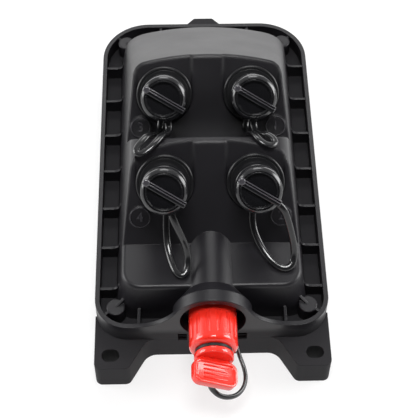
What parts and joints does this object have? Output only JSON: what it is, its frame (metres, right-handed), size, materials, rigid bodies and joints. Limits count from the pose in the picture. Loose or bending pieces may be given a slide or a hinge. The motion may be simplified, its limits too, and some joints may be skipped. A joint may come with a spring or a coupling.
{
  "type": "multiport service terminal",
  "caption": "Sealed wedge-stepped outdoor fibre terminal with capped ports on two sloping faces, a plugged input in a hood, mounting feet and a hanging tab.",
  "frame": {"origin": "on the flat back face, in the middle of the enclosure's rim", "axes": "+Z out of the back face, +Y towards the hanging tab, +X to the right when the ports face the viewer"},
  "size_m": [0.1208, 0.2637, 0.099],
  "materials": {
    "housing": "satin moulded plastic",
    "adapter": "glossy moulded plastic",
    "cap": "satin-gloss moulded plastic",
    "tether": "soft flexible plastic",
    "seal": "moulded seal",
    "nut": "moulded plastic",
    "ceramic": "polished ceramic",
    "input_red": "glossy moulded plastic",
    "tray": "moulded plastic",
    "screw": "stainless steel"
  },
  "bodies": {
    "housing": {"base": "housing", "cover": "housing", "housing_seal": "seal", "cover_screws": "screw", "splice_tray": "tray", "tray_screws": "screw", "port_adapter_1": "adapter", "adapter_seal_1": "seal", "lock_nut_1": "nut", "ferrule_sleeve_1": "ceramic", "tether_neck_1": "tether", "tether_1": "tether", "port_adapter_2": "adapter", "adapter_seal_2": "seal", "lock_nut_2": "nut", "ferrule_sleeve_2": "ceramic", "tether_neck_2": "tether", "tether_2": "tether", "port_adapter_3": "adapter", "adapter_seal_3": "seal", "lock_nut_3": "nut", "ferrule_sleeve_3": "ceramic", "tether_neck_3": "tether", "tether_3": "tether", "port_adapter_4": "adapter", "adapter_seal_4": "seal", "lock_nut_4": "nut", "ferrule_sleeve_4": "ceramic", "tether_neck_4": "tether", "tether_4": "tether", "input_adapter": "adapter", "input_seal": "seal", "input_lock_nut": "nut", "lanyard_ring": "tether", "lanyard": "tether"},
    "cap_swivel_1": {"tether_eye_1": "tether"},
    "cap_1": {"dust_cap_1": "cap", "cap_seal_1": "seal"},
    "cap_swivel_2": {"tether_eye_2": "tether"},
    "cap_2": {"dust_cap_2": "cap", "cap_seal_2": "seal"},
    "cap_swivel_3": {"tether_eye_3": "tether"},
    "cap_3": {"dust_cap_3": "cap", "cap_seal_3": "seal"},
    "cap_swivel_4": {"tether_eye_4": "tether"},
    "cap_4": {"dust_cap_4": "cap", "cap_seal_4": "seal"},
    "sleeve": {"input_sleeve": "input_red"},
    "plug": {"input_plug": "input_red", "plug_seal": "seal"}
  },
  "joints": [
    {"name": "cap_1_travel", "type": "slide", "parent": "housing", "child": "cap_swivel_1", "axis": [0, -0.7071, 0.7071], "range_m": [0, 0.008]},
    {"name": "cap_1_turn", "type": "hinge", "parent": "cap_swivel_1", "child": "cap_1", "pos_m": [0.0232, 0.01342, 0.07092], "axis": [0, -0.7071, 0.7071], "range_deg": [0, 1440]},
    {"name": "cap_2_travel", "type": "slide", "parent": "housing", "child": "cap_swivel_2", "axis": [0, -0.7071, 0.7071], "range_m": [0, 0.008]},
    {"name": "cap_2_turn", "type": "hinge", "parent": "cap_swivel_2", "child": "cap_2", "pos_m": [0.0232, -0.04209, 0.06641], "axis": [0, -0.7071, 0.7071], "range_deg": [0, 1440]},
    {"name": "cap_3_travel", "type": "slide", "parent": "housing", "child": "cap_swivel_3", "axis": [0, -0.7071, 0.7071], "range_m": [0, 0.008]},
    {"name": "cap_3_turn", "type": "hinge", "parent": "cap_swivel_3", "child": "cap_3", "pos_m": [-0.0232, 0.01342, 0.07092], "axis": [0, -0.7071, 0.7071], "range_deg": [0, 1440]},
    {"name": "cap_4_travel", "type": "slide", "parent": "housing", "child": "cap_swivel_4", "axis": [0, -0.7071, 0.7071], "range_m": [0, 0.008]},
    {"name": "cap_4_turn", "type": "hinge", "parent": "cap_swivel_4", "child": "cap_4", "pos_m": [-0.0232, -0.04209, 0.06641], "axis": [0, -0.7071, 0.7071], "range_deg": [0, 1440]},
    {"name": "sleeve_turn", "type": "hinge", "parent": "housing", "child": "sleeve", "pos_m": [0, -0.095, 0.0348], "axis": [0, -1, 0], "continuous": true},
    {"name": "plug_pull", "type": "slide", "parent": "housing", "child": "plug", "axis": [0, -1, 0], "range_m": [0, 0.009]}
  ],
  "couplings": [
    {"joint": "cap_1_travel", "follows": "cap_1_turn", "m_per_rad": 0.00031831},
    {"joint": "cap_2_travel", "follows": "cap_2_turn", "m_per_rad": 0.00031831},
    {"joint": "cap_3_travel", "follows": "cap_3_turn", "m_per_rad": 0.00031831},
    {"joint": "cap_4_travel", "follows": "cap_4_turn", "m_per_rad": 0.00031831}
  ]
}
